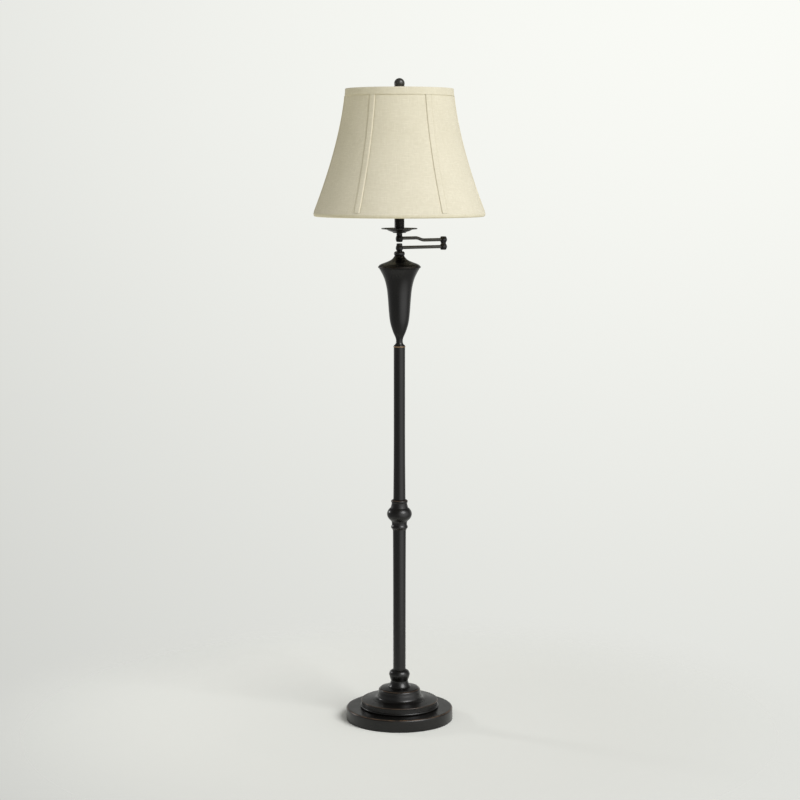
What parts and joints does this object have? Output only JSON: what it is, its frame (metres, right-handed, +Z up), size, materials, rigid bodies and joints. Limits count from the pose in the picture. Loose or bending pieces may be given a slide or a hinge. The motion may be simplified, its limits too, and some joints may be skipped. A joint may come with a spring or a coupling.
{
  "type": "swing arm floor lamp",
  "caption": "Floor lamp with stepped round base, turned pole, urn, folding double swing arm and bell shaped cloth shade on a harp",
  "frame": {"origin": "On the floor under the axis of the pole", "axes": "+Z up along the pole, +X along the folded arms from the pole to the elbow, +Y towards the back, where the cord enters the base"},
  "size_m": [0.4061, 0.4062, 1.5435],
  "materials": {
    "felt": "black felt",
    "cast_weight": "rough sand casting",
    "bronze_paint": "dark rubbed bronze, satin, with copper wear on the edges",
    "copper_edge": "rubbed copper brown, satin",
    "plain_brass": "plain brass",
    "zinc_steel": "zinc plated",
    "black_plastic": "matte black",
    "wire_jacket": "brown lamp wire",
    "liner_card": "pressed fibre board",
    "bulb_glass": "soft white frosted",
    "bulb_metal": "rolled screw base",
    "frame_steel": "plated wire",
    "shade_linen": "oatmeal linen with slubs",
    "shade_lining": "off-white lining"
  },
  "bodies": {
    "stand": {"base_pad": "felt", "base_weight": "cast_weight", "base_cover": "bronze_paint", "base_tier": "bronze_paint", "base_crown": "bronze_paint", "base_nipple": "plain_brass", "base_locknut": "zinc_steel", "cord_bushing": "black_plastic", "foot_collar": "bronze_paint", "lower_pole": "bronze_paint", "pole_plugs": "zinc_steel", "knuckle": "bronze_paint", "knuckle_nipple": "plain_brass", "upper_pole": "bronze_paint", "pole_ring": "copper_edge", "urn_neck": "bronze_paint", "urn": "bronze_paint", "urn_cap": "bronze_paint", "check_ring": "bronze_paint", "urn_rod": "plain_brass", "pivot_washer": "black_plastic", "pivot_nut": "zinc_steel", "pole_wire": "wire_jacket"},
    "lower_arm_body": {"pole_hub": "bronze_paint", "lower_hub_caps": "bronze_paint", "lower_arm": "bronze_paint", "elbow_lower": "bronze_paint", "elbow_washer": "black_plastic", "lower_arm_wire": "wire_jacket"},
    "upper_arm_body": {"elbow_upper": "bronze_paint", "elbow_top_cap": "bronze_paint", "elbow_bolt": "zinc_steel", "elbow_nut": "zinc_steel", "upper_arm": "bronze_paint", "candle_hub": "bronze_paint", "drip_pan": "bronze_paint", "candle_sleeve": "bronze_paint", "riser_nipple": "plain_brass", "upper_arm_wire": "wire_jacket", "harp_saddle": "plain_brass", "socket_cap": "plain_brass", "socket_shell": "plain_brass", "socket_liner": "liner_card", "socket_switch": "black_plastic", "screw_shell": "plain_brass", "centre_contact": "plain_brass", "bulb_glass": "bulb_glass", "bulb_base": "bulb_metal", "harp": "plain_brass", "harp_sleeves": "plain_brass", "harp_stud": "plain_brass"},
    "shade_body": {"shade_spider": "frame_steel", "shade_frame": "frame_steel", "shade_cover": "shade_linen", "shade_liner": "shade_lining", "top_band": "shade_linen", "bottom_band": "shade_linen", "seam_strips": "shade_linen"},
    "finial_body": {"finial": "bronze_paint"},
    "switch_body": {"switch_knob": "black_plastic"}
  },
  "joints": [
    {"name": "arm_swivel", "type": "hinge", "parent": "stand", "child": "lower_arm_body", "pos_m": [0, 0, 1.1463], "axis": [0, 0, 1], "range_deg": [-175, 175]},
    {"name": "elbow_swivel", "type": "hinge", "parent": "lower_arm_body", "child": "upper_arm_body", "pos_m": [0.122, 0, 1.1547], "axis": [0, 0, 1], "range_deg": [-175, 175]},
    {"name": "shade_turn", "type": "hinge", "parent": "upper_arm_body", "child": "shade_body", "pos_m": [0, 0, 1.5085], "axis": [0, 0, 1], "continuous": true},
    {"name": "finial_turn", "type": "hinge", "parent": "upper_arm_body", "child": "finial_body", "pos_m": [0, 0, 1.52], "axis": [0, 0, 1], "continuous": true},
    {"name": "switch_turn", "type": "hinge", "parent": "upper_arm_body", "child": "switch_body", "pos_m": [0, -0.02, 1.2745], "axis": [0, -1, 0], "continuous": true}
  ]
}
